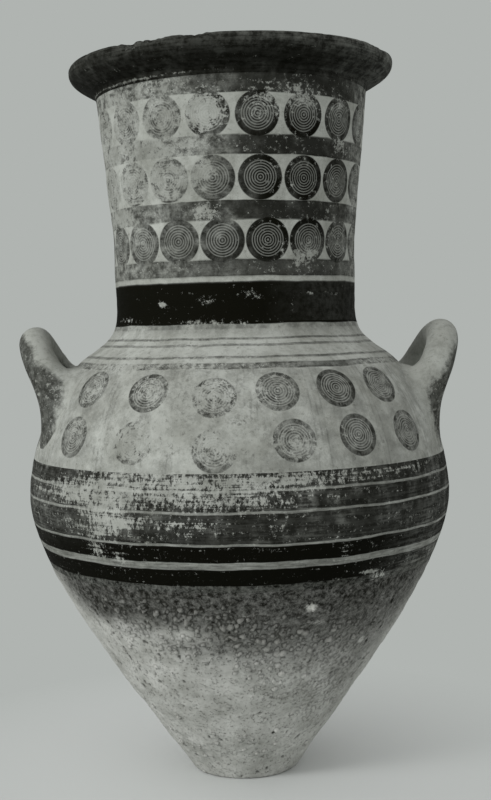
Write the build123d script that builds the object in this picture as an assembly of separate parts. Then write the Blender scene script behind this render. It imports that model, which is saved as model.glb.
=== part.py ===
from build123d import *
from collections import namedtuple
import math
import os

# A tall painted storage jar, built up by hand: a base slab, rings of coiled wall, a thrown neck
# and rim set on top, and two loop handles on the shoulder. The jar stands on Z with its base at
# zero, and the handles lie along X. Lengths are millimetres; leans are degrees from upright,
# positive outwards.

# Base slab
base_radius = 58.0
base_thickness = 20.0

# Places where the outer wall turns, from the foot up; each rise is counted from the place below
foot_radius = 65.0
foot_height = 6.0
foot_lean = 33.0
belly_radius = 239.0
belly_height = 320.0
shoulder_radius = 168.8
shoulder_rise = 158.0
shoulder_lean = -57.0
waist_radius = 136.0
waist_rise = 68.5
neck_top_radius = 152.8
neck_rise = 220.5
neck_lean = 5.5

# Clay thickness at those places
foot_wall_thickness = 18.0
belly_wall_thickness = 15.0
shoulder_wall_thickness = 14.0
neck_wall_thickness = 13.0

# Fullness of each stretch of wall: how far a curve holds its end directions, as a share of its chord
base_fullness = 0.4
lower_fullness = 0.237
shoulder_fullness = 0.291
throat_fullness = 0.53
neck_fullness = 0.383
rim_fullness = 0.4

# Everted rim with a flat top that a lid can rest on
rim_rise = 33.0
rim_overhang = 29.7
flare_rise = 9.5
flare_overhang = 13.0
flare_lean = 58.0
lip_rounding = 5.0
mouth_rounding = 8.0

# Bevelled seams between the rings of wall
foot_ring_height = 105.0
lower_ring_height = 120.0
belly_seam_rise = 45.0
neck_seam_drop = 34.0
rim_seam_drop = 3.0
seam_bevel = 30.0

# Rolls of soft clay pressed over the seams from inside
luting_coil_radius = 9.0

# Loop handles, round bars bent to an arch that stands on the shoulder
handle_rise = 119.0
handle_span = 116.0
handle_bar_radius = 17.0
handle_standoff = 13.0
handle_lean = 24.0
handle_leg = 48.0

# Clay wads that bed the handle roots on the wall
collar_width = 8.0
collar_length = 96.0
collar_drop = 16.0
collar_setback = 5.0

Station = namedtuple("Station", "radius height lean")


def heading(lean):
    """Direction up along the wall at a lean."""
    return Vector(math.sin(math.radians(lean)), math.cos(math.radians(lean)))


def inset(station, thickness):
    """The station moved into the clay, square to the wall."""
    along = heading(station.lean)
    return Station(station.radius - thickness * along.Y, station.height + thickness * along.X, station.lean)


def stretch(lower, upper, fullness):
    """A smooth curve between two stations that keeps their leans."""
    start = Vector(lower.radius, lower.height)
    end = Vector(upper.radius, upper.height)
    hold = (end - start).length * fullness
    return Bezier(start, start + heading(lower.lean) * hold, end - heading(upper.lean) * hold, end)


def at_height(skin, height):
    """Place and upward direction where a skin passes a height."""
    edge = next(e for e in skin if (e @ 0).Y <= height <= (e @ 1).Y)
    low, high = 0.0, 1.0
    for _ in range(40):
        middle = (low + high) / 2
        if (edge @ middle).Y < height:
            low = middle
        else:
            high = middle
    return edge @ high, edge % high


def region(*corners):
    """A plain face with straight sides."""
    return make_face(Polyline(*corners, close=True))


def turned(section):
    """A cross-section of radius and height, turned about the jar's axis."""
    return revolve(Plane.XZ * section, axis=Axis.Z)


# Wall profile, outside and inside
foot = Station(foot_radius, foot_height, foot_lean)
belly = Station(belly_radius, belly_height, 0.0)
shoulder = Station(shoulder_radius, belly.height + shoulder_rise, shoulder_lean)
waist = Station(waist_radius, shoulder.height + waist_rise, 0.0)
neck_top = Station(neck_top_radius, waist.height + neck_rise, neck_lean)
top = neck_top.height + rim_rise

foot_inside = Station(
    foot.radius
    + (base_thickness - foot.height) * math.tan(math.radians(foot.lean))
    - foot_wall_thickness / math.cos(math.radians(foot.lean)),
    base_thickness,
    foot.lean,
)
belly_inside = inset(belly, belly_wall_thickness)
shoulder_inside = inset(shoulder, shoulder_wall_thickness)
waist_inside = inset(waist, neck_wall_thickness)
neck_top_inside = inset(neck_top, neck_wall_thickness)

fullnesses = [lower_fullness, shoulder_fullness, throat_fullness, neck_fullness]
outer_stations = [foot, belly, shoulder, waist, neck_top]
inner_stations = [foot_inside, belly_inside, shoulder_inside, waist_inside, neck_top_inside]
outer_skin = [stretch(*ends) for ends in zip(outer_stations, outer_stations[1:], fullnesses)]
inner_skin = [stretch(*ends) for ends in zip(inner_stations, inner_stations[1:], fullnesses)]

# Rim profile: the neck flares out to a round lip, with a flat top and a rounded mouth edge
flare = Station(neck_top.radius + flare_overhang, neck_top.height + flare_rise, flare_lean)
lip = Station(neck_top.radius + rim_overhang, top - lip_rounding, 0.0)
lip_top = Station(lip.radius - lip_rounding, top, -90.0)
mouth_slope = math.tan(math.radians(neck_lean))
mouth_height = top - mouth_rounding
mouth_radius = neck_top_inside.radius + (mouth_height - neck_top_inside.height) * mouth_slope
mouth = Station(mouth_radius, mouth_height, neck_lean)
mouth_top = Station(mouth.radius + mouth_rounding, top, 90.0)
base_edge = Station(base_radius, 0.0, 90.0)

whole = make_face(
    [
        Line((0, 0), (base_edge.radius, 0)),
        stretch(base_edge, foot, base_fullness),
        *outer_skin,
        stretch(neck_top, flare, rim_fullness),
        stretch(flare, lip, rim_fullness),
        stretch(lip, lip_top, rim_fullness),
        Line((lip_top.radius, top), (0, top)),
        Line((0, top), (0, 0)),
    ]
)
cavity = make_face(
    [
        Line((0, base_thickness), (foot_inside.radius, base_thickness)),
        *inner_skin,
        Line((neck_top_inside.radius, neck_top_inside.height), (mouth.radius, mouth.height)),
        stretch(mouth, mouth_top, rim_fullness),
        Line((mouth_top.radius, top), (0, top)),
        Line((0, top), (0, base_thickness)),
    ]
)
wall = whole - cavity

# Seams: each region holds all of the jar above one seam
beyond = 2 * lip.radius + 2 * belly.radius


def above_level(height):
    """Everything above a flat seam."""
    return region((0, height), (beyond, height), (beyond, beyond + top), (0, beyond + top))


def above_bevel(height):
    """Everything above a bevelled seam, whose inner edge stands higher than its outer edge."""
    outer_edge, upward = at_height(outer_skin, height)
    inward = Vector(-upward.Y, upward.X)
    bevel = math.radians(seam_bevel)
    across = inward * math.cos(bevel) + upward * math.sin(bevel)
    reach = across * (3 * foot_wall_thickness)
    inside = outer_edge + reach
    outside = outer_edge - reach
    return region(
        (0, inside.Y),
        (inside.X, inside.Y),
        (outside.X, outside.Y),
        (beyond, outside.Y),
        (beyond, beyond + top),
        (0, beyond + top),
    )


foot_seam = base_thickness + foot_ring_height
lower_seam = foot_seam + lower_ring_height
belly_seam = belly.height + belly_seam_rise
neck_seam = waist.height - neck_seam_drop
rim_seam = neck_top.height - rim_seam_drop

seams = {
    "base_slab": above_level(base_thickness),
    "foot_ring": above_bevel(foot_seam),
    "lower_ring": above_bevel(lower_seam),
    "belly_ring": above_bevel(belly_seam),
    "shoulder_ring": above_bevel(neck_seam),
    "neck": above_bevel(rim_seam),
}

parts = {}
remaining = wall
for name, seam in seams.items():
    parts[name] = turned(remaining - seam)
    remaining = remaining & seam
parts["rim"] = turned(remaining)


# Luting coils: a roll of clay over the inner edge of each seam, pressed flat against the wall
def luting_coil(radius, height):
    return turned(Pos(radius, height) * Circle(luting_coil_radius) - wall)


parts["base_luting_coil"] = luting_coil(foot_inside.radius, base_thickness)
coiled_seams = {
    "foot_luting_coil": foot_seam,
    "lower_luting_coil": lower_seam,
    "belly_luting_coil": belly_seam,
    "neck_luting_coil": neck_seam,
}
for name, seam_height in coiled_seams.items():
    inner_edge, _ = at_height(inner_skin, seam_height)
    parts[name] = luting_coil(inner_edge.X, inner_edge.Y)

# Handles: the arch springs from the shoulder and its legs run down into the wall, where the jar's
# outer surface cuts them off, so each root sits face to face on the wall
body = turned(whole)
handle_half = handle_span / 2
spring_height = belly.height + handle_rise
wall_at_spring, _ = at_height(outer_skin, spring_height)
spring_reach = math.sqrt(wall_at_spring.X**2 - handle_half**2) + handle_standoff
arch_up = heading(handle_lean)
arch_plane = Plane(
    origin=(spring_reach, 0, spring_height),
    x_dir=(0, 1, 0),
    z_dir=(arch_up.Y, 0, -arch_up.X),
)

centre_line = Wire(
    [
        Line((-handle_half, -handle_leg), (-handle_half, 0)),
        ThreePointArc((-handle_half, 0), (0, handle_half), (handle_half, 0)),
        Line((handle_half, 0), (handle_half, -handle_leg)),
    ]
)
bar_end = Plane((-handle_half, -handle_leg, 0), z_dir=(0, 1, 0))
bar = arch_plane * sweep(bar_end * Circle(handle_bar_radius), path=centre_line)
parts["handle_right"] = bar - body

# Handle collars: an egg of clay round each root, with the bar and the wall taken out of it
collar_radius = handle_bar_radius + collar_width
egg_half = Ellipse(collar_radius, collar_length / 2) & (
    Pos(collar_radius, 0) * Rectangle(2 * collar_radius, collar_length)
)
egg = revolve(egg_half, axis=Axis.Y)
eggs = [
    arch_plane * (Pos(side * handle_half, -collar_drop, -collar_setback) * egg)
    for side in (-1, 1)
]
parts["handle_collars_right"] = Compound(children=[one - bar - body for one in eggs])

# The left handle is the right one carried half a turn round the jar
for name in ("handle", "handle_collars"):
    parts[name + "_left"] = Rot(0, 0, 180) * parts[name + "_right"]

os.makedirs("parts", exist_ok=True)
for name, part in parts.items():
    export_step(part, f"parts/{name}.step")
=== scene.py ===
import bisect
import math

import bmesh
import bpy
from mathutils import Matrix, Vector, geometry, noise


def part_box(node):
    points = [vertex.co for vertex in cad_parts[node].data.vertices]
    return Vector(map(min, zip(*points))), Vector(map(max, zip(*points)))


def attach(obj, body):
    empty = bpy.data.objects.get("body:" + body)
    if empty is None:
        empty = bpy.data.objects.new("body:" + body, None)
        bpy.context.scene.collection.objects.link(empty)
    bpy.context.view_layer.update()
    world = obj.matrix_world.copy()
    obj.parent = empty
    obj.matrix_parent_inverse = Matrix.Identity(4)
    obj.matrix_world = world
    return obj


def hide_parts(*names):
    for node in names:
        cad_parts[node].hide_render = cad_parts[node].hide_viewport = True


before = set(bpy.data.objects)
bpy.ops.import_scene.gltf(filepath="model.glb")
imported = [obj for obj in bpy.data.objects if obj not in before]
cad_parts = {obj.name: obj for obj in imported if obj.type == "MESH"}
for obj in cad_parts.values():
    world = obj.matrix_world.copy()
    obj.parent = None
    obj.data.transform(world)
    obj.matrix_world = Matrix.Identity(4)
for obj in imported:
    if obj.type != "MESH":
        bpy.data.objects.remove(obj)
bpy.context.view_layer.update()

# Base slab, foot ring and lower ring
# The bare lower part: a disc of coarse clay beaten flat, and two rings of wall coiled on it, luted to each
# other and scraped to a cone. Ground water has left pits, lime lumps and a dark wash from the painted zone.
wall_stations = [  # radius and height in metres, and lean from upright in degrees
    (0.058, 0.0, 90.0),
    (0.065, 0.006, 33.0),
    (0.239, 0.320, 0.0),
    (0.1688, 0.478, -57.0),
    (0.136, 0.5465, 0.0),
    (0.1528, 0.767, 5.5),
    (0.1658, 0.7765, 58.0),
    (0.1825, 0.795, 0.0),
    (0.1775, 0.8, -90.0),
]
wall_fullness = [0.4, 0.237, 0.291, 0.53, 0.383, 0.4, 0.4, 0.4]
inner_stations = [
    (0.05263, 0.020, 33.0),
    (0.224, 0.320, 0.0),
    (0.16118, 0.46626, -57.0),
    (0.123, 0.5465, 0.0),
    (0.13986, 0.76825, 5.5),
    (0.14217, 0.792, 5.5),
    (0.15017, 0.8, 90.0),
]
inner_fullness = [0.237, 0.291, 0.53, 0.383, 0.3, 0.4]
line_points = 400  # from one station to the next
outer_spacing = 0.0015  # between the mesh's rows on the outer face
inner_spacing = 0.008
crease = math.radians(40)


def heading(lean):
    """Direction up along a wall at a lean."""
    return Vector((math.sin(math.radians(lean)), 0, math.cos(math.radians(lean))))


def wall_line(stations, fullness):
    """A smooth line of points up the wall, through stations that each keep their lean."""
    line = []
    for station, station_up, hold in zip(stations, stations[1:], fullness):
        radius, height, lean = station
        radius_up, height_up, lean_up = station_up
        start = Vector((radius, 0, height))
        end = Vector((radius_up, 0, height_up))
        reach = (end - start).length * hold
        below = start + heading(lean) * reach
        above = end - heading(lean_up) * reach
        line += geometry.interpolate_bezier(start, below, above, end, line_points)[:-1]
    return line + [end]


def point_at(line, height):
    """Where a wall line passes a height."""
    place = bisect.bisect(line, height, key=lambda point: point.z)
    below = line[max(place - 1, 0)]
    above = line[min(place, len(line) - 1)]
    return below.lerp(above, (height - below.z) / max(above.z - below.z, 1e-9))


def part_of(line, low, high, spacing):
    """The stretch of a wall line between two heights, as points about a spacing apart."""
    points = [point_at(line, low)]
    end = point_at(line, high)
    for point in line:
        clear = min((point - points[-1]).length, (point - end).length * 2)
        if low < point.z < high and clear >= spacing:
            points.append(point)
    return points + [end]


def turned(outline, sectors=12, steps=60):
    """An outline of radius and height turned about the jar's axis: one sector spun, then copied round."""
    shape = bmesh.new()
    corners = [shape.verts.new(point) for point in outline]
    sides = [shape.edges.new(pair) for pair in zip(corners, corners[1:] + corners[:1])]
    about = {"cent": (0, 0, 0), "axis": (0, 0, 1)}
    bmesh.ops.spin(shape, geom=corners + sides, angle=math.tau / sectors, steps=steps, **about)
    sector = shape.verts[:] + shape.edges[:] + shape.faces[:]
    rest = math.tau - math.tau / sectors
    bmesh.ops.spin(shape, geom=sector, angle=rest, steps=sectors - 1, use_duplicate=True, **about)
    bmesh.ops.remove_doubles(shape, verts=shape.verts, dist=1e-6)
    bmesh.ops.recalc_face_normals(shape, faces=shape.faces)
    for edge in shape.edges:
        edge.smooth = edge.calc_face_angle(0) < crease
    return shape


def finished(shape, name, material, slot, *nodes):
    """Makes a shape the finished piece that stands for its nodes."""
    for face in shape.faces:
        face.smooth = True
    mesh = bpy.data.meshes.new(name)
    shape.to_mesh(mesh)
    shape.free()
    mesh.materials.append(material)
    piece = bpy.data.objects.new(name, mesh)
    bpy.context.scene.collection.objects.link(piece)
    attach(piece, "root")
    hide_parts(*nodes)


def tone(code):
    """A colour written as sRGB hex, as linear light."""
    parts = [int(code[place : place + 2], 16) / 255 for place in (0, 2, 4)]
    return [part / 12.92 if part <= 0.04045 else ((part + 0.055) / 1.055) ** 2.4 for part in parts] + [1]


def add(tree, kind, *feeds, out=0, **settings):
    """Adds a node. Feeds go to its inputs in order, or to the one a pair names, as a link or a value."""
    made = tree.nodes.new("ShaderNode" + kind)
    for setting, value in settings.items():
        setattr(made, setting, value)
    for place, feed in enumerate(feeds):
        place, feed = feed if isinstance(feed, tuple) else (place, feed)
        if isinstance(feed, bpy.types.NodeSocket):
            tree.links.new(feed, made.inputs[place])
        else:
            made.inputs[place].default_value = feed
    return made.outputs[out] if made.outputs else None


def started(name):
    """A new material, and the place on the piece that its patterns follow."""
    material = bpy.data.materials.new(name)
    material.use_nodes = True
    material.node_tree.nodes.clear()
    return material, material.node_tree, add(material.node_tree, "TexCoord", out=3)


def fired(tree, place, colour, roughness, relief):
    """Closes a material as matt fired clay, with grit of about a millimetre under what relief adds."""
    grit = add(tree, "TexNoise", place, ("Scale", 1 / 0.0013), ("Detail", 3.0), ("Roughness", 0.6))
    height = add(tree, "Math", grit, 0.35, relief, operation="MULTIPLY_ADD")
    bump = add(tree, "Bump", ("Strength", 0.5), ("Distance", 0.0008), ("Height", height))
    shader = add(tree, "BsdfPrincipled", ("Base Color", colour), ("Roughness", roughness), ("IOR", 1.5),
                 ("Specular IOR Level", 0.03), ("Normal", bump))
    add(tree, "OutputMaterial", shader)


def washed(tree, place, amount):
    """How much a thin dark wash covers, in blotches a few millimetres wide."""
    blotch = add(tree, "TexNoise", place, ("Scale", 1 / 0.006), ("Detail", 8.0), ("Roughness", 0.78))
    blotch = add(tree, "MapRange", blotch, 0.36, 0.64, 0.7, 1.22)
    return add(tree, "Math", amount, blotch, operation="MULTIPLY", use_clamp=True)


# Bare clay: coarse buff earthenware, coil-built, wiped with a wet hand and fired matt. Mottled in patches
# of three centimetres and flecked with dark grit. The wash stains it, painted shade and dirt darken the
# clay round the lumps and in the pits, and lime has left pale spots.
bare_clay, tree, place = started("bare_clay")
mottle = add(tree, "TexNoise", place, ("Scale", 1 / 0.03), ("Detail", 5.0), ("Roughness", 0.6))
mottle = add(tree, "MapRange", mottle, 0.35, 0.7)
body = add(tree, "Mix", mottle, (6, tone("C6C7C2")), (7, tone("9C9D97")), out=2, data_type="RGBA")
fleck = add(tree, "TexNoise", place, ("Scale", 1 / 0.0032), ("Detail", 5.0), ("Roughness", 0.7))
fleck_cover = add(tree, "MapRange", fleck, 0.53, 0.67, 0.0, 0.8)
body = add(tree, "Mix", fleck_cover, (6, body), (7, tone("4C4C46")), out=2, data_type="RGBA")
wash = add(tree, "Attribute", out=2, attribute_name="wash")
wash_cover = washed(tree, place, wash)
body = add(tree, "Mix", wash_cover, (6, body), (7, tone("1C1C18")), out=2, data_type="RGBA")
crust = add(tree, "Attribute", out=2, attribute_name="crust")
rind = add(tree, "MapRange", crust, 0.3, 0.95, 0.0, 0.42)
body = add(tree, "Mix", rind, (6, body), (7, tone("ABABA5")), out=2, data_type="RGBA")
# Painted shade and dirt: the clay darkens in a ring round the foot of each lump and in the pits, more where
# the wash is.
shade_and_dirt = add(tree, "MapRange", crust, 0.0, 0.12, 0.0, 1.0)
shade_and_dirt_end = add(tree, "MapRange", crust, 0.2, 0.45, 1.0, 0.0)
shade_and_dirt = add(tree, "Math", shade_and_dirt, shade_and_dirt_end, operation="MULTIPLY")
shade_and_dirt_share = add(tree, "MapRange", wash, 0.0, 0.8, 0.36, 0.75)
shade_and_dirt = add(tree, "Math", shade_and_dirt, shade_and_dirt_share, operation="MULTIPLY")
body = add(tree, "Mix", shade_and_dirt, (6, body), (7, tone("2C2C28")), out=2, data_type="RGBA")
lime = add(tree, "Attribute", out=2, attribute_name="lime")
lime_edge = add(tree, "Math", lime, fleck, operation="ADD")
lime_cover = add(tree, "MapRange", lime_edge, 0.75, 1.1, 0.0, 0.95)
body = add(tree, "Mix", lime_cover, (6, body), (7, tone("C9CAC4")), out=2, data_type="RGBA")
fired(tree, place, body, 0.9, fleck)

outer_line = wall_line(wall_stations, wall_fullness)
inner_line = wall_line(inner_stations, inner_fullness)


def ring(below, node, above, steps):
    """A ring of wall with bevelled seams to the nodes below and above it."""
    outside = part_of(outer_line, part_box(node)[0].z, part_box(above)[0].z, outer_spacing)
    inside = part_of(inner_line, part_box(below)[1].z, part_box(node)[1].z, inner_spacing)
    return turned(outside + inside[::-1], steps=steps)


def outward(height):
    """The outer wall's radius at a height and its direction square to the clay."""
    low = point_at(outer_line, height - 0.0005)
    high = point_at(outer_line, height + 0.0005)
    along = (high - low).normalized()
    return (low.x + high.x) / 2, along.z, -along.x


def ripple(point):
    """Soft finger ridges left by coiling and throwing, about half a millimetre high, none at the base."""
    broad = noise.noise(Vector((point.x * 9, point.y * 9, point.z * 22)))
    fine = noise.noise(Vector((point.x * 14, point.y * 14, point.z * 130)))
    return (0.0011 * broad + 0.00022 * fine) * min(1, point.z / 0.02)


def azimuth_of(point):
    """Degrees round the jar from the front, more to the right."""
    return math.degrees(math.atan2(point.x, -point.y))


skin = 0.001  # a vertex this near the outer line lies on the outer face


def weathered(shape, marks, *kept):
    """Moves the outer face in and out by what marks finds there, and keeps the other things it finds."""
    levels = {}
    layers = [(name, shape.verts.layers.float.new(name)) for name in kept]
    outer = shape.verts.layers.float.new("outer")
    for vert in shape.verts:
        level = round(vert.co.z, 5)
        if level not in levels:
            levels[level] = outward(vert.co.z)
        radius, out, up = levels[level]
        across = math.hypot(vert.co.x, vert.co.y)
        found = marks(vert.co, azimuth_of(vert.co), vert.co.z * 1000)
        push = found["push"] + ripple(vert.co)
        for name, layer in layers:
            vert[layer] = found[name]
        if radius - across < skin:
            vert[outer] = 1
            side = Vector((vert.co.x / across * out, vert.co.y / across * out, up))
            vert.co += side * push


def patches(azimuth, height, spots):
    """Soft spots added up: each an azimuth, a height in mm, a half width, a half height and a strength."""
    total = 0
    for spot_azimuth, spot_height, wide, tall, strength in spots:
        off = ((azimuth - spot_azimuth) / wide) ** 2 + ((height - spot_height) / tall) ** 2
        if off < 6:
            total += strength * math.exp(-off)
    return total


def between(value, points):
    """A value read off the straight lines between points."""
    place = min(max(bisect.bisect(points, (value,)), 1), len(points) - 1)
    (low, start), (high, end) = points[place - 1 : place + 1]
    return start + (end - start) * min(1, max(0, (value - low) / (high - low)))


def knobs(point, pitch, size, share):
    """Height, from nought to one, of knobs a pitch apart that cover a share of their places."""
    gaps, seeds = noise.voronoi(point / pitch)
    chance = 0.5 + 0.5 * noise.cell(seeds[0] * 37)
    if chance > share:
        return 0
    radius = size * (1 + 0.35 * noise.cell(seeds[0] * 91))
    return max(0, 1 - (gaps[0] / radius) ** 2)


bare_top = 252  # mm, where the paint begins
lump_pitch = 0.0086
grain_pitch = 0.0068
pit_pitch = 0.0072
wash_ends = [  # azimuth, and how far down the wash runs in mm
    (-180, 155),
    (-75, 178),
    (-40, 182),
    (-20, 150),
    (10, 136),
    (60, 130),
    (180, 155),
]
wash_fall = [(0, 0), (0.3, 0.34), (0.58, 0.74), (0.8, 0.89), (1, 0.94)]  # share of the way up, cover
wash_spots = [
    (-46, 212, 14, 16, 0.25),
    (-8, 180, 14, 12, 0.15),
    (48, 130, 18, 45, 0.25),
    (-22, 196, 6, 8, -0.4),
    (-75, 222, 12, 45, -0.6),
    (72, 215, 13, 50, -0.4),
    (14, 66, 0.9, 1.4, 1.6),
]
lime_spots = [
    (17, 224, 2.2, 6, 0.6),
    (20, 206, 4, 4, 0.35),
    (42, 173, 2.2, 6, 0.5),
    (30, 172, 2.5, 7, 0.3),
]
grain_spots = [
    (-40, 225, 14, 14, 0.55),
    (-22, 212, 16, 14, 0.55),
    (-8, 200, 14, 22, 0.5),
    (-15, 182, 16, 14, 0.6),
    (6, 180, 14, 28, 0.6),
    (25, 170, 18, 50, 0.5),
    (35, 120, 16, 40, 0.35),
    (-35, 190, 14, 18, 0.45),
    (10, 140, 12, 20, 0.25),
    (-15, 45, 30, 20, 0.2),
]
lump_spots = [
    (-30, 222, 10, 7, 0.6),
    (-14, 218, 8, 7, 0.7),
    (-4, 208, 8, 14, 0.75),
    (4, 188, 9, 22, 0.85),
    (13, 192, 7, 18, 0.6),
    (8, 150, 8, 14, 0.3),
    (-20, 196, 8, 9, 0.2),
    (28, 190, 10, 22, 0.25),
]
sandy_spots = [
    (28, 170, 16, 40, 0.8),
    (36, 115, 18, 40, 0.8),
    (-45, 225, 16, 16, 0.8),
    (-5, 45, 50, 22, 0.4),
]
pit_spots = [
    (-50, 160, 12, 45, 0.6),
    (-34, 150, 12, 40, 0.3),
    (-15, 150, 20, 40, 0.12),
    (-58, 225, 12, 20, 0.5),
]
noise.seed_set(1)  # so that the lumps fall the same way at every run


def lower_marks(point, azimuth, height):
    """Lime grains and lumps, pits and the dark wash on the bare lower wall."""
    drift = noise.noise(point * 14)
    unseen = between(abs(azimuth), [(95, 0), (125, 1)])
    few = max(unseen, between(abs(azimuth), [(56, 1), (66, 0)])) * (0.05 + 0.08 * drift)
    belt = max(0, 1 - abs(height - 190) / 70) * unseen
    knotted = point + 0.0018 * noise.noise_vector(point * 230) + 0.0007 * noise.noise_vector(point * 520)
    grain = knobs(knotted, grain_pitch, 0.46, few + patches(azimuth, height, grain_spots) + 0.3 * belt)
    lump = knobs(knotted, lump_pitch, 0.5, 0.3 * few + patches(azimuth, height, lump_spots) + 0.1 * belt)
    pit = 0
    if grain + lump == 0:
        drawn_up = knotted * Vector((1, 1, 0.6)) + Vector((0.5, 0.2, 0.4))
        pit = knobs(drawn_up, pit_pitch, 0.3, 0.1 + 0.1 * drift + patches(azimuth, height, pit_spots))
    rough = 0.0004 * noise.noise(point * 160) + 0.0006 * noise.noise(point * 60)
    sandy = min(1, 0.15 + patches(azimuth, height, sandy_spots) + unseen)
    sand = sandy * max(0, noise.noise(point * 310) + 0.15)
    calm = min(1, (bare_top - height) / 12, height / 6)
    wash_end = between(azimuth, wash_ends) + 14 * drift + 16 * noise.noise(point * 45)
    wash = between((height - wash_end) / (bare_top - wash_end), wash_fall)
    wash += patches(azimuth, height, wash_spots)
    return {
        "push": calm * (0.0038 * lump + 0.0025 * grain + 0.0012 * sand - 0.0014 * pit + rough),
        # Pits raise the crust and the wash, so the clay is darkened in them: painted shade and dirt.
        "crust": max(lump, 0.75 * grain, 0.2 * sand, 0.16 * pit),
        "wash": max(0, wash) + 0.5 * pit,
        "lime": patches(azimuth, height, lime_spots),
    }


base_low, base_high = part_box("base_slab")
base_edge = part_of(outer_line, base_low.z, base_high.z, outer_spacing)
slab = turned([Vector((0, 0, base_low.z)), *base_edge, Vector((0, 0, base_high.z))])
foot = ring("base_slab", "foot_ring", "lower_ring", 60)
cone = ring("foot_ring", "lower_ring", "belly_ring", 88)
for node, shape in (("base_slab", slab), ("foot_ring", foot), ("lower_ring", cone)):
    weathered(shape, lower_marks, "crust", "wash", "lime")
    finished(shape, node + "_clay", bare_clay, "bare_clay", node)

# Belly ring
# The widest ring, coiled on the lower one, covered with pale slip and painted round and round on a
# turntable with iron-rich clay paint. It has flaked off in grains, most of all on the left of the front.
belly_bands = [  # lower and upper edge in mm, and strength
    (349, 367.6, 0.98),
    (328, 347, 0.98),
    (296, 326, 0.975),
    (277, 294, 1.0),
    (bare_top, 270, 1.0),
]


def bands_round(tree, height, bands, wobble):
    """Painted bands, full at their edges and of their own strength in between."""
    low = min(band[0] for band in bands) - 10
    high = max(band[1] for band in bands) + 10
    level = add(tree, "Math", wobble, height, operation="ADD")
    ramp = add(tree, "ValToRGB", add(tree, "MapRange", level, low / 1000, high / 1000))
    stops = ramp.node.color_ramp.elements
    for lower, upper, strength in bands:
        inset = min(2, (upper - lower) / 3)
        rise = [(lower - 0.5, 0), (lower + 0.5, 1), (lower + inset, strength)]
        fall = [(upper - inset, strength), (upper - 0.5, 1), (upper + 0.5, 0)]
        for edge, value in rise + fall:
            stops.new((edge - low) / (high - low)).color = (value, value, value, 1)
    stops[0].color = (0, 0, 0, 1)
    stops[-1].color = (0, 0, 0, 1)
    return ramp


def brush_wobble(tree, place, reach):
    """How far a hand-held brush strays up and down, in metres."""
    stray = add(tree, "TexNoise", place, ("Scale", 1 / 0.05), ("Detail", 3.0), ("Roughness", 0.6))
    return add(tree, "MapRange", stray, 0.3, 0.7, -reach, reach)


def painted(tree, place, pattern, slip, paint, ghost, streaky=0.5, upright=1.0):
    """Slipped clay under clay paint in the streaks of a broad brush, flaked where worn, thin where faded.
    Ghost is what the clay keeps of paint that is gone, and upright draws the flakes out upwards."""
    stroke = add(tree, "VectorMath", place, (1, (1 / 0.05, 1 / 0.05, 1 / 0.0022)), operation="MULTIPLY")
    streak = add(tree, "TexNoise", stroke, ("Scale", 1.0), ("Detail", 3.0), ("Roughness", 0.6))
    drawn_out = add(tree, "VectorMath", place, (1, (upright, upright, 1 / upright)), operation="MULTIPLY")
    flake = add(tree, "TexNoise", drawn_out, ("Scale", 1 / 0.0052), ("Detail", 8.0), ("Roughness", 0.8))
    share = min(0.35, 0.7 * streaky)
    grains = add(tree, "Math", streak, share, operation="MULTIPLY")
    grains = add(tree, "Math", flake, 0.8, grains, operation="MULTIPLY_ADD")
    grains = add(tree, "MapRange", grains, 0.245 + share / 2, 0.555 + share / 2)
    worn = add(tree, "Attribute", out=2, attribute_name="worn")
    gone = add(tree, "Math", worn, 0.1, operation="SUBTRACT")
    kept = add(tree, "Math", worn, 0.1, operation="ADD")
    cover = add(tree, "MapRange", grains, gone, kept)
    faded = add(tree, "Attribute", out=2, attribute_name="faded")
    mottle = add(tree, "TexNoise", place, ("Scale", 1 / 0.009), ("Detail", 8.0), ("Roughness", 0.75))
    mottle = add(tree, "Math", streak, streaky, mottle, operation="MULTIPLY_ADD")
    mottle = add(tree, "MapRange", mottle, 0.4 + streaky / 2, 0.64 + streaky / 2, 0.25, 1.8)
    thin = add(tree, "Math", faded, mottle, operation="MULTIPLY")
    body = add(tree, "Math", 1.0, thin, operation="SUBTRACT", use_clamp=True)
    cover = add(tree, "Math", cover, body, operation="MULTIPLY")
    cover = add(tree, "Math", cover, ghost, operation="MAXIMUM")
    cover = add(tree, "Math", cover, pattern, operation="MULTIPLY", use_clamp=True)
    cloud = add(tree, "TexNoise", place, ("Scale", 1 / 0.045), ("Detail", 6.0), ("Roughness", 0.62))
    cloud = add(tree, "MapRange", cloud, 0.3, 0.72)
    ground = add(tree, "Mix", cloud, (6, tone(slip)), (7, tone("8A8C85")), out=2, data_type="RGBA")
    soiled = add(tree, "TexNoise", place, ("Scale", 1 / 0.014), ("Detail", 8.0), ("Roughness", 0.78))
    soiled = add(tree, "MapRange", soiled, 0.46, 0.64, 0.0, 0.5)
    ground = add(tree, "Mix", soiled, (6, ground), (7, tone("6E7069")), out=2, data_type="RGBA")
    speck = add(tree, "MapRange", flake, 0.56, 0.67, 0.0, 0.6)
    ground = add(tree, "Mix", speck, (6, ground), (7, tone("54544D")), out=2, data_type="RGBA")
    colour = add(tree, "Mix", cover, (6, ground), (7, tone(paint)), out=2, data_type="RGBA")
    relief = add(tree, "Math", cover, 0.5, flake, operation="MULTIPLY_ADD")
    fired(tree, place, colour, 0.8, relief)


def on_outer_face(tree, pattern):
    """Keeps a painted pattern off the inside of the jar."""
    outer = add(tree, "Attribute", out=2, attribute_name="outer")
    return add(tree, "Math", pattern, outer, operation="MULTIPLY")


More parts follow.
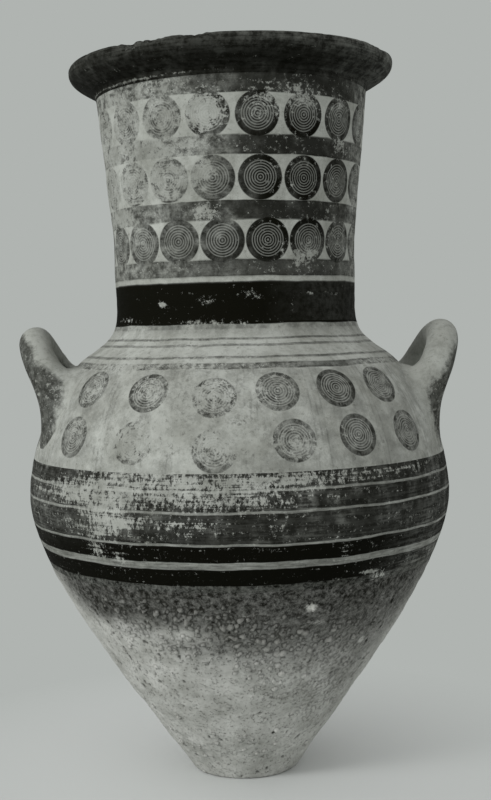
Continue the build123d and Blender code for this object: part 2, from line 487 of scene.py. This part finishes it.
# Banded clay: earthenware under pale slip, with broad bands of matt brown-black paint. Brush streaks and
# grains of lost paint show in the bands, and soil greys the pale lines between them.
banded_clay, tree, place = started("banded_clay")
height = add(tree, "SeparateXYZ", place, out=2)
pattern = bands_round(tree, height, belly_bands, brush_wobble(tree, place, 0.0009))
soil = add(tree, "VectorMath", place, (1, (1 / 0.03, 1 / 0.03, 1 / 0.003)), operation="MULTIPLY")
soil = add(tree, "TexNoise", soil, ("Scale", 1.0), ("Detail", 6.0), ("Roughness", 0.7))
soil = add(tree, "MapRange", soil, 0.35, 0.65, 0.15, 0.72)
pattern = add(tree, "Math", pattern, soil, operation="MAXIMUM")
stained = add(tree, "MapRange", height, 0.2535, 0.2555, 0.88, 0.0)
pattern = add(tree, "Math", pattern, washed(tree, place, stained), operation="MAXIMUM")
pattern = on_outer_face(tree, pattern)
painted(tree, place, pattern, "B6B9B3", "0C0C07", 0.12, streaky=0.9, upright=1.3)

belly_worn = [
    (-38, 340, 10, 30, 0.5),
    (-53, 343, 14, 12, 0.42),
    (-20, 352, 16, 16, 0.52),
    (6, 358, 18, 10, 0.5),
    (-68, 338, 12, 10, 0.15),
    (-12, 337, 9, 9, 0.3),
    (2, 339, 9, 9, 0.34),
    (20, 340, 6, 8, 0.15),
    (40, 359, 22, 9, 0.25),
    (-38, 312, 9, 13, 0.35),
    (-18, 314, 12, 10, 0.26),
    (-56, 312, 12, 12, 0.08),
    (-41, 286, 3, 12, 0.4),
    (-34, 280, 2, 8, 0.4),
    (24, 282, 1.5, 10, 0.3),
    (33, 256, 3, 4, 0.5),
    (38, 250, 3, 4, 0.5),
]
belly_faded = [
    (-56, 312, 18, 16, 0.05),
    (-72, 335, 12, 40, 0.08),
    (56, 280, 14, 40, 0.12),
    (62, 258, 14, 14, 0.3),
]
most_worn = 0.64


def uneven(point):
    """Where the brush ran dry: nought to about a half, in patches of two or three centimetres."""
    return max(0, noise.noise(point * 42 + Vector((2, 5, 3))) + 0.6 * noise.noise(point * 110))


def worn_by_chance(point):
    """Wear on the sides and the back: none to half, in broad drifts."""
    return 0.16 + 0.3 * noise.noise(point * 9 + Vector((4, 1, 7)))


def belly_marks(point, azimuth, height):
    """Flaked and thin paint on the belly, whose upper three bands are brushed on thinner."""
    unseen = between(abs(azimuth), [(70, 0), (95, 1)])
    seen = 0.08 + patches(azimuth, height, belly_worn) + 0.1 * noise.noise(point * 25)
    seen += 0.06 if 295 < height < 327 else 0
    thin = 0.04 + 0.2 * uneven(point) if height > 295 else 0
    return {
        "push": 0.0003 * noise.noise(point * 90),
        "worn": min(most_worn, seen) * (1 - unseen) + worn_by_chance(point) * unseen,
        "faded": thin + patches(azimuth, height, belly_faded),
    }


shape = ring("lower_ring", "belly_ring", "shoulder_ring", 62)
weathered(shape, belly_marks, "worn", "faded")
finished(shape, "belly_ring_clay", banded_clay, "banded_clay", "belly_ring")

# Shoulder ring
# The ring that closes in from the belly to the neck, coiled on the belly and covered with the same slip.
# Thin lines run round its top, and below them two rows of compass-drawn discs stand between upright ones.
shoulder_bands = [
    (510, 560, 1.0),
    (494, 496, 0.7),
    (487.5, 489.5, 0.6),
    (475.5, 477.5, 0.7),
    (465, 471, 0.85),
]
upper_discs = [  # azimuth, height in mm
    (-52, 446),
    (-29, 443),
    (-9, 438),
    (9, 443),
    (27.5, 444),
    (45.5, 445),
]
lower_discs = [
    (-52.5, 397),
    (-30.5, 394),
    (-8.5, 387),
    (11.8, 395),
    (30.2, 397),
    (49.3, 396),
]
upright_lines = [-64, -41, -19, 1, 19.3, 37.5, 57]  # azimuth of the middle line of three
upright_pitch = 0.0058
upright_radius = 0.21
shoulder_disc = 0.0225
shoulder_rings = 0.0176
ring_pitch = 0.0027
ring_start = 0.0006


def discs_with_rings(tree, distance, radius, ringed, show):
    """Painted discs by distance from the nearest compass point, with reserved rings in the middle."""
    disc = add(tree, "MapRange", distance, radius - 0.0005, radius + 0.0005, 1.0, 0.0)
    wave = add(tree, "Math", distance, ring_start, operation="SUBTRACT")
    wave = add(tree, "Math", wave, math.tau / ring_pitch, operation="MULTIPLY")
    wave = add(tree, "MapRange", add(tree, "Math", wave, operation="COSINE"), -0.2, 0.6)
    middle = add(tree, "MapRange", distance, ringed - 0.0005, ringed + 0.0005, show, 0.0)
    bare = add(tree, "Math", wave, middle, operation="MULTIPLY")
    painted_part = add(tree, "Math", 1.0, bare, operation="SUBTRACT")
    return add(tree, "Math", disc, painted_part, operation="MULTIPLY")


def brushed_on(tree, place):
    """Dark paint dabbed on where the piece is brushed, ragged at its edges."""
    ragged = add(tree, "TexNoise", place, ("Scale", 1 / 0.011), ("Detail", 8.0), ("Roughness", 0.75))
    brushed = add(tree, "Attribute", out=2, attribute_name="brushed")
    brushed = add(tree, "Math", brushed, ragged, operation="ADD")
    return add(tree, "MapRange", brushed, 0.86, 1.12, 0.0, 0.95)


# Slipped clay: earthenware smoothed under pale slip, with fine brown-black drawing. The slip is cloudy and
# the drawing rubbed, with a veil of smudged paint between the discs. The back repeats the front.
slipped_clay, tree, place = started("slipped_clay")
flat = add(tree, "SeparateXYZ", place).node.outputs
behind = add(tree, "Math", flat[1], 0.0, operation="GREATER_THAN")
facing = add(tree, "Math", behind, -2.0, 1.0, operation="MULTIPLY_ADD")
facing = add(tree, "CombineXYZ", facing, facing, 1.0)
folded = add(tree, "VectorMath", place, facing, operation="MULTIPLY")
nearest = 1.0
for azimuth, disc_height in upper_discs + lower_discs:
    radius = point_at(outer_line, disc_height / 1000).x
    turn = math.radians(azimuth)
    middle = (radius * math.sin(turn), -radius * math.cos(turn), disc_height / 1000)
    distance = add(tree, "VectorMath", folded, (1, middle), out=1, operation="DISTANCE")
    nearest = add(tree, "Math", distance, nearest, operation="MINIMUM")
discs = discs_with_rings(tree, nearest, shoulder_disc, shoulder_rings, 0.5)
front = add(tree, "SeparateXYZ", folded).node.outputs
depth = add(tree, "Math", front[1], -1.0, operation="MULTIPLY")
around = add(tree, "Math", front[0], depth, operation="ARCTAN2")
aside = 9.0
for azimuth in upright_lines:
    turned_off = add(tree, "Math", around, math.radians(azimuth), operation="SUBTRACT")
    turned_off = add(tree, "Math", turned_off, operation="ABSOLUTE")
    aside = add(tree, "Math", turned_off, aside, operation="MINIMUM")
aside = add(tree, "Math", aside, upright_radius, operation="MULTIPLY")
aside = add(tree, "Math", aside, brush_wobble(tree, place, 0.0012), operation="ADD")
off_line = add(tree, "Math", aside, upright_pitch / 2, operation="PINGPONG")
upright = add(tree, "MapRange", off_line, 0.0004, 0.0021, 0.7, 0.1)
grouped = add(tree, "MapRange", aside, 0.0068, 0.0082, 1.0, 0.0)
upright = add(tree, "Math", upright, grouped, operation="MULTIPLY")
smudge = add(tree, "TexNoise", place, ("Scale", 1 / 0.018), ("Detail", 8.0), ("Roughness", 0.7))
rubbed = add(tree, "MapRange", smudge, 0.4, 0.58, 0.1, 1.0)
upright = add(tree, "Math", upright, rubbed, operation="MULTIPLY")
panel = add(tree, "MapRange", flat[2], 0.464, 0.466, 1.0, 0.0)
upright = add(tree, "Math", upright, panel, operation="MULTIPLY")
lines = bands_round(tree, flat[2], shoulder_bands, brush_wobble(tree, place, 0.0007))
smear = add(tree, "MapRange", flat[2], 0.496, 0.506, 0.0, 0.55)
smear = add(tree, "Math", smear, rubbed, operation="MULTIPLY")
smudge = add(tree, "MapRange", smudge, 0.4, 0.66, 0.0, 0.6)
veil = add(tree, "Math", panel, smudge, operation="MULTIPLY")
veil = add(tree, "Math", veil, smear, operation="MAXIMUM")
pattern = add(tree, "Math", discs, upright, operation="MAXIMUM")
for layer in (lines, veil, brushed_on(tree, place)):
    pattern = add(tree, "Math", pattern, layer, operation="MAXIMUM")
pattern = on_outer_face(tree, pattern)
painted(tree, place, pattern, "AFB2AC", "0E0E08", 0.1, streaky=0.1)

shoulder_worn = [
    (-52, 446, 5, 12, 0.4),
    (-28, 446, 5, 13, 0.4),
    (-9, 440, 8, 20, 0.4),
    (9, 443, 7, 16, 0.15),
    (-29, 394, 9, 24, 0.66),
    (-6, 397, 9, 20, 0.66),
    (12, 388, 8, 16, 0.34),
    (-41, 420, 5, 60, 0.25),
    (-19, 420, 5, 60, 0.3),
    (1, 410, 5, 60, 0.15),
    (30, 397, 5, 12, 0.2),
    (-52, 406, 4, 12, 0.25),
    (-30, 487, 40, 16, 0.1),
    (-50, 468, 30, 6, 0.38),
    (62, 468, 16, 6, 0.45),
    (-10, 511, 22, 5, 0.4),
    (-62, 514, 12, 5, 0.3),
]
under_handles = [(94, 388, 17, 34, 0.95)]
black_start = 505  # mm, under the black band at the neck's foot


def shoulder_marks(point, azimuth, height):
    """Flaked and thin drawing on the shoulder, and the dark paint dabbed under the handles."""
    unseen = between(abs(azimuth), [(70, 0), (95, 1)])
    seen = 0.17 + patches(azimuth, height, shoulder_worn) + 0.12 * noise.noise(point * 25)
    thin = 0.38 - 0.14 * between(azimuth, [(18, 0), (24, 1), (34, 1), (40, 0)])
    if height > black_start:
        seen -= 0.12
        thin = 0
    return {
        "push": 0.0002 * noise.noise(point * 90),
        "worn": seen * (1 - unseen) + (0.1 + worn_by_chance(point)) * unseen,
        "faded": thin,
        "brushed": patches(abs(azimuth), height, under_handles),
    }


shape = ring("belly_ring", "shoulder_ring", "neck", 54)
weathered(shape, shoulder_marks, "worn", "faded", "brushed")
finished(shape, "shoulder_ring_clay", slipped_clay, "slipped_clay", "shoulder_ring")

# Neck
# A drum thrown apart and luted to the shoulder, slipped and painted like it: three rows of compass-drawn
# discs between bands, and a solid black band at its foot.
neck_bands = [
    (500, 554.5, 1.0),
    (560, 577.5, 0.9),
    (618, 638, 0.95),
    (684, 704, 0.95),
    (746, 768, 0.95),
]
discs_in_row = 18
disc_rows = [(7.9, 725), (9.1, 661), (12.4, 597)]  # azimuth of one disc, height in mm
neck_disc = 0.0234
neck_rings = 0.0176

# Patterned clay: the same slip and paint. The paint is thin and half gone on the left of the front, and
# dark with small flakes out of it on the right.
patterned_clay, tree, place = started("patterned_clay")
flat = add(tree, "SeparateXYZ", place).node.outputs
depth = add(tree, "Math", flat[1], -1.0, operation="MULTIPLY")
around = add(tree, "Math", flat[0], depth, operation="ARCTAN2")
across = add(tree, "VectorMath", place, (1, (1, 1, 0)), operation="MULTIPLY")
across = add(tree, "VectorMath", across, out=1, operation="LENGTH")
half = math.pi / discs_in_row
nearest = 1.0
for first, disc_height in disc_rows:
    middle = (0, point_at(outer_line, disc_height / 1000).x, disc_height / 1000)
    turned_off = add(tree, "Math", around, math.radians(first), operation="SUBTRACT")
    turned_off = add(tree, "Math", turned_off, half, -half, operation="WRAP")
    sideways = add(tree, "Math", turned_off, operation="SINE")
    sideways = add(tree, "Math", sideways, across, operation="MULTIPLY")
    forward = add(tree, "Math", turned_off, operation="COSINE")
    forward = add(tree, "Math", forward, across, operation="MULTIPLY")
    spot = add(tree, "CombineXYZ", sideways, forward, flat[2])
    distance = add(tree, "VectorMath", spot, (1, middle), out=1, operation="DISTANCE")
    nearest = add(tree, "Math", distance, nearest, operation="MINIMUM")
discs = discs_with_rings(tree, nearest, neck_disc, neck_rings, 0.42)
lines = bands_round(tree, flat[2], neck_bands, brush_wobble(tree, place, 0.0007))
pattern = on_outer_face(tree, add(tree, "Math", discs, lines, operation="MAXIMUM"))
painted(tree, place, pattern, "AEB1AB", "0E0E08", 0.16, streaky=0.2)

neck_worn = [
    (-33, 757, 14, 10, 0.4),
    (-58, 752, 16, 9, 0.35),
    (12, 751, 14, 6, 0.12),
    (-14, 728, 10, 18, 0.75),
    (-53, 728, 12, 22, 0.15),
    (-32, 728, 12, 18, 0.18),
    (8, 736, 9, 12, 0.22),
    (28, 740, 9, 10, 0.36),
    (48, 739, 8, 8, 0.2),
    (-24, 694, 12, 9, 0.3),
    (-52, 694, 24, 9, 0.35),
    (0, 694, 8, 9, 0.15),
    (50, 699, 5, 7, 0.38),
    (57, 692, 9, 8, 0.2),
    (-16, 669, 7, 13, 0.6),
    (-53, 655, 14, 22, 0.12),
    (-68, 628, 14, 10, 0.5),
    (-15, 626, 6, 10, 0.6),
    (-30, 628, 10, 8, 0.15),
    (30, 582, 7, 9, 0.38),
    (54, 600, 10, 18, 0.2),
    (-40, 568, 45, 7, 0.2),
    (28, 570, 5, 10, 0.16),
    (-37, 532, 2.2, 3.5, 0.9),
    (-16, 535, 4, 7, 0.35),
    (5, 541, 5, 6, 0.35),
    (33, 541, 4, 4, 0.45),
    (50, 541, 8, 2.5, 0.4),
    (23, 528, 2.5, 16, 0.25),
    (-62, 517, 12, 4, 0.35),
    (-8, 513, 24, 4, 0.35),
]
neck_faded = [
    (28, 737, 9, 12, 0.22),
    (47, 734, 6, 10, 0.14),
    (8, 722, 6, 10, 0.14),
    (-33, 726, 12, 18, 0.3),
    (50, 654, 8, 12, 0.16),
    (-33, 660, 12, 22, 0.2),
    (33, 588, 8, 14, 0.22),
    (52, 598, 9, 20, 0.12),
    (-49, 602, 8, 14, 0.2),
    (-45, 568, 50, 8, 0.15),
]
black_top = 557  # mm, over the black band at the foot


def neck_marks(point, azimuth, height):
    """Flaked and thin paint on the neck, row by row on the left; the black band has kept best."""
    unseen = between(abs(azimuth), [(75, 0), (100, 1)])
    seen = 0.04 + patches(azimuth, height, neck_worn) + 0.1 * noise.noise(point * 25)
    if height < black_top:
        thin = between(azimuth, [(10, 0), (40, 0.05)]) * (1 - unseen)
    else:
        left = between(azimuth, [(-38, 1), (-12, 0)])
        far_left = 0.28
        if height < 618:
            left *= 0.4
            far_left = 0.1
        elif height < 640:
            left = between(azimuth, [(-60, 1.3), (-50, 0.5), (-12, 0)])
        elif height < 706:
            left = between(azimuth, [(-34, 1.8), (2, 0)])
        right = between(azimuth, [(40, 0), (60, 1)])
        kept = between(azimuth, [(-2, 0), (12, 1), (44, 1), (60, 0)])
        far = between(abs(azimuth - 4), [(54, 0), (64, 1)]) * (far_left if azimuth < 0 else 0.28)
        seen += 0.06 + 0.1 * kept
        thin = 0.08 * (1 - kept) + 0.42 * left + 0.08 * right + far + patches(azimuth, height, neck_faded)
        thin = thin * (1 - unseen) + 0.1 * unseen + 0.3 * (1 - 0.55 * kept) * uneven(point)
    return {
        "push": 0.0002 * noise.noise(point * 90),
        "worn": seen * (1 - unseen) + worn_by_chance(point) * unseen,
        "faded": thin,
    }


tilt_start = 0.70  # heights at which the lean begins and is full
tilt_end = 0.767
rim_lift = 0.00075
rim_slope = 0.015


def tilted(shape):
    """Lets the top of the jar lean as it does: the right of the rim stands higher than the left."""
    for vert in shape.verts:
        share = min(1, max(0, (vert.co.z - tilt_start) / (tilt_end - tilt_start)))
        vert.co.z += (rim_lift + rim_slope * vert.co.x) * share * share * (3 - 2 * share)


shape = ring("shoulder_ring", "neck", "rim", 43)
weathered(shape, neck_marks, "worn", "faded")
tilted(shape)
finished(shape, "neck_clay", patterned_clay, "patterned_clay", "neck")

# Rim
# A thick ring of clay thrown outwards over the top of the neck, dark all over, with a flat top that a lid
# can lie on. Its lip is knocked and chipped.
rim_spacing = 0.003  # between the mesh's rows on the inside
rim_chips = [
    (-38, 797, 5, 7, 1.0),
    (-28, 800, 5, 6, 0.8),
    (-14, 801, 4, 5, 0.7),
    (60, 800, 7, 5, 0.5),
    (150, 799, 9, 6, 1.0),
]
rim_ridge = 767.5  # mm, the height of the raised line
lip_start = 0.168  # radius from which chips cut the top

# Dark painted clay: earthenware brushed brown-black all over. Matt, streaked round by the brush, and grey
# where hands and lids have rubbed the lip, which also carries a painted highlight along its top.
dark_painted_clay, tree, place = started("dark_painted_clay")
painted(tree, place, 1.0, "A8ABA4", "0C0C07", 0.5)


def rim_marks(point, azimuth, height):
    """A raised line where the rim begins, worn and painted pale on the left as a highlight, and chips along
    the lip.
    """
    ridge = math.exp(-(((height - rim_ridge) / 1.4) ** 2))
    # The ridge's paint is made pale on the lit left side: a painted highlight as well as wear.
    bare = between(azimuth, [(-140, 0), (-100, 1), (-25, 1), (5, 0)])
    right = between(azimuth, [(30, 0), (70, 1), (120, 1), (170, 0)])
    lip = between(azimuth, [(-15, 0), (15, 1), (120, 1), (170, 0)])
    rough = noise.noise(Vector((point.x * 70, point.y * 70, point.z * 40)))
    chip = patches(azimuth, height, rim_chips) * (0.7 + 0.6 * rough)
    knocked = max(0, (height - 788) / 12) * max(0, rough - 0.2)
    # Paler paint towards the top of the lip, more on the right: rubbing, and a painted highlight along the
    # top.
    rubbed = (0.07 + 0.07 * lip) * max(0, (height - 780) / 20)
    return {
        "push": 0.0009 * ridge - 0.003 * chip - 0.003 * knocked,
        "worn": 0.02 + 0.5 * ridge * bare + 0.5 * knocked + 0.25 * chip,
        "faded": 0.03 + rubbed + 0.1 * right + 0.07 * uneven(point),
    }


rim_low, rim_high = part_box("rim")
rim_outside = part_of(outer_line, rim_low.z, rim_high.z, outer_spacing)
rim_inside = part_of(inner_line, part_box("neck")[1].z, rim_high.z, rim_spacing)
shape = turned(rim_outside + rim_inside[::-1])
weathered(shape, rim_marks, "worn", "faded")
for vert in shape.verts:
    if vert.co.xy.length > lip_start:
        chip = patches(azimuth_of(vert.co), vert.co.z * 1000, rim_chips)
        vert.co.z -= 0.0045 * chip * (0.6 + noise.noise(vert.co * 150))
tilted(shape)
finished(shape, "rim_clay", dark_painted_clay, "dark_painted_clay", "rim")

# Luting coils
# Rolls of soft clay laid round the inside over each seam and pressed on with a thumb every few centimetres.
# They are of the bare clay and are seen through the mouth only.
foot_seam = 0.125
coil_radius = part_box("foot_luting_coil")[1].z - point_at(inner_line, foot_seam).z
coil_sides = 48
thumb_pitch = 0.032


def coil(node, seam):
    """The part of a round roll that stands clear of the inner wall and the slab."""
    middle = point_at(inner_line, seam)
    outline = []
    for step in range(coil_sides):
        turn = math.tau * step / coil_sides
        point = middle + Vector((-math.cos(turn), 0, math.sin(turn))) * coil_radius
        if point.z >= base_high.z and point.x <= point_at(inner_line, point.z).x:
            outline.append((math.remainder(turn - 0.7, math.tau), point))
    outline.sort(key=lambda entry: entry[0])
    shape = turned([middle] + [point for turn, point in outline], steps=15)
    for vert in shape.verts:
        around = math.atan2(vert.co.y, vert.co.x)
        thumb = 0.5 + 0.5 * math.cos(around * round(middle.x * math.tau / thumb_pitch))
        off = math.hypot(vert.co.x, vert.co.y) - middle.x
        if off < -0.001:
            vert.co.xy *= 1 - off * 0.3 * thumb / middle.x
    finished(shape, node + "_clay", bare_clay, "bare_clay", node)


coil("base_luting_coil", base_high.z)
coil("foot_luting_coil", foot_seam)
coil("lower_luting_coil", 0.245)
coil("belly_luting_coil", 0.365)
coil("neck_luting_coil", 0.5125)

# Handles
# Two round bars rolled by hand and bent to a loop, set on the shoulder with their legs pressed into the
# wall and wads of clay wiped round the roots. Pale slip, with dark paint outside and down the roots.
bar_radius = 0.018
arch_radius = 0.058
arch_lean = 24
handle_leg = 0.075
handle_standoff = 0.013
spring_height = 0.439
wiped_on = 0.034  # how far up the bar the wiped clay reaches
root_depth = 0.0013  # how far its edge is pressed into the wall
sunk_depth = 0.007  # how far the bar's end lies in the wall
thickest = 3.2 * bar_radius
handle_shift = 0.0035  # both stand a little to the right, and higher than the middle
handle_lift = 0.002

# Handle clay: slipped earthenware dabbed with dark paint. Pale and bare where hands have rubbed it, and
# blotched with paint on the outside and at the roots.
handle_clay, tree, place = started("handle_clay")
painted(tree, place, brushed_on(tree, place), "A4A7A1", "10100A", 0.1, streaky=0.0)


def bar_swell(centre, out):
    """How thick the bar is towards one side, with the clay that is wiped between it and the wall."""
    low = 0.5 * bar_radius
    high = 4 * bar_radius
    for halving in range(11):
        middle = (low + high) / 2
        point = centre + out * middle
        wall_radius, across, rise = outward(point.z)
        off_wall = (math.hypot(point.x, point.y) - wall_radius) * across + root_depth
        off_bar = middle - bar_radius
        wiped = max(0, wiped_on - abs(off_wall - off_bar)) ** 2 / (4 * wiped_on)
        if min(off_wall, off_bar) - wiped < -0.0003:
            low = middle
        else:
            high = middle
    if low < thickest:
        return low
    low = 0.5 * bar_radius
    high = thickest
    for halving in range(10):
        middle = (low + high) / 2
        point = centre + out * middle
        sunk = point_at(outer_line, point.z).x - math.hypot(point.x, point.y)
        if sunk < sunk_depth:
            low = middle
        else:
            high = middle
    return low


def loop_handle(side, name, *nodes):
    """One handle; side is 1 for the right and -1 for the left."""
    wall_radius = point_at(outer_line, spring_height).x
    spring = Vector((math.sqrt(wall_radius**2 - arch_radius**2) + handle_standoff, 0, spring_height))
    spring += Vector((side * handle_shift, 0, handle_lift))
    up = heading(arch_lean)
    along = Vector((0, 1, 0))
    facing = along.cross(up)
    shape = bmesh.new()
    start = Matrix.Translation(spring - along * arch_radius - up * handle_leg)
    start = start @ Matrix.Rotation(math.radians(arch_lean), 4, "Y")
    bmesh.ops.create_circle(shape, segments=96, radius=bar_radius, matrix=start)
    last = shape.verts[:] + shape.edges[:]
    for turn, rise, steps in ((0, up, 50), (-math.pi, up * 0, 90), (0, -up, 50)):
        course = {"cent": spring, "axis": facing, "dvec": rise * handle_leg / steps}
        bent = bmesh.ops.spin(shape, geom=last, angle=turn, steps=steps, **course)
        last = bent["geom_last"]
    bmesh.ops.holes_fill(shape, edges=shape.edges, sides=0)
    bmesh.ops.recalc_face_normals(shape, faces=shape.faces)
    worn = shape.verts.layers.float.new("worn")
    faded = shape.verts.layers.float.new("faded")
    brushed = shape.verts.layers.float.new("brushed")
    for vert in shape.verts:
        local = vert.co - spring
        rise = local.dot(up)
        turn = math.atan2(max(0, rise), local.dot(along))
        bend = along * math.cos(turn) + up * math.sin(turn)
        centre = spring + bend * arch_radius + up * min(0, rise)
        out = (vert.co - centre).normalized()
        lumpy = 0.0006 * noise.noise(vert.co * 40 + Vector((side * 9, 0, 0)))
        outside = out.dot(facing)
        vert.co = centre + out * (bar_swell(centre, out) + lumpy)
        grime = noise.noise(vert.co * 22 + Vector((side * 5, 3, 1)))
        edge = -0.25 + 11 * max(0, rise - 0.005) + 16 * max(0, -0.03 - rise)
        edge -= 0.25 * (side < 0)
        clear = math.hypot(vert.co.x, vert.co.y) - point_at(outer_line, vert.co.z).x
        near = 0.35 * max(0, 1 - clear / 0.014)
        vert[brushed] = min(0.72, max(0.26, 0.42 + 0.6 * (outside - edge) - near + 0.45 * grime))
        vert[worn] = 0.27 + 0.12 * grime
        vert[faded] = 0.2
    if side < 0:
        bmesh.ops.rotate(shape, verts=shape.verts, cent=(0, 0, 0), matrix=Matrix.Rotation(math.pi, 3, "Z"))
    finished(shape, name, handle_clay, "handle_clay", *nodes)


loop_handle(1, "handle_right_clay", "handle_right", "handle_collars_right")
loop_handle(-1, "handle_left_clay", "handle_left", "handle_collars_left")

# Floor and surround
# A plain pale floor of matt paper that takes the jar's shadow and runs out into an even pale surround.
pale = tone("B0B4B1")
floor_clearing = 0.10
floor_end = 0.44
shape = bmesh.new()
bmesh.ops.create_circle(shape, cap_ends=True, radius=40, segments=64)
mesh = bpy.data.meshes.new("floor")
shape.to_mesh(mesh)
shape.free()
floor = bpy.data.objects.new("floor", mesh)
bpy.context.scene.collection.objects.link(floor)

# Floor paper: matt and pale, lit near the jar and fading to the even tone of the surround.
floor_paper, tree, place = started("floor_paper")
reach = add(tree, "VectorMath", place, out=1, operation="LENGTH")
faded_out = add(tree, "MapRange", reach, floor_clearing, floor_end)
looked_at = add(tree, "LightPath")
faded_out = add(tree, "Math", faded_out, looked_at, operation="MULTIPLY")
lit = add(tree, "BsdfDiffuse", tone("CCCFCD"))
even = add(tree, "Emission", pale)
add(tree, "OutputMaterial", add(tree, "MixShader", faded_out, lit, even))
mesh.materials.append(floor_paper)

world = bpy.data.worlds.new("surround")
world.use_nodes = True
tree = world.node_tree
tree.nodes.clear()
looked_at = add(tree, "LightPath").node.outputs
seen = add(tree, "Math", looked_at["Is Camera Ray"], looked_at["Is Glossy Ray"], operation="MAXIMUM")
seen = add(tree, "Math", seen, looked_at["Is Transmission Ray"], operation="MAXIMUM")
soft = add(tree, "Background", [1, 1, 1, 1], 0.74)
even = add(tree, "Background", pale, 1.0)
add(tree, "OutputWorld", add(tree, "MixShader", seen, soft, even))
bpy.context.scene.world = world

# Light
# One broad soft lamp high on the left of the front, turned to the middle of the jar.
lamp = bpy.data.objects.new("window", bpy.data.lights.new("window", "AREA"))
lamp.data.size = 0.8
lamp.data.energy = 42
lamp.location = (-2.0, -1.7, 1.8)
lamp.rotation_euler = (Vector((0, 0, 0.42)) - lamp.location).to_track_quat("-Z", "Y").to_euler()
bpy.context.scene.collection.objects.link(lamp)

# Camera
# It stands a little left of the front at two thirds of the jar's height, tipped down, and leans a degree.
camera = bpy.data.objects.new("camera", bpy.data.cameras.new("camera"))
bpy.context.scene.collection.objects.link(camera)
camera.data.lens = 56.03
turn = Matrix.Rotation(math.radians(-2.75), 4, "Z")
tip = Matrix.Rotation(math.radians(90 - 3.34), 4, "X")
roll = Matrix.Rotation(math.radians(-1.26), 4, "Z")
camera.matrix_world = Matrix.Translation((-0.060, -1.4317, 0.5065)) @ turn @ tip @ roll
bpy.context.scene.camera = camera
bpy.context.scene.view_settings.view_transform = "Standard"
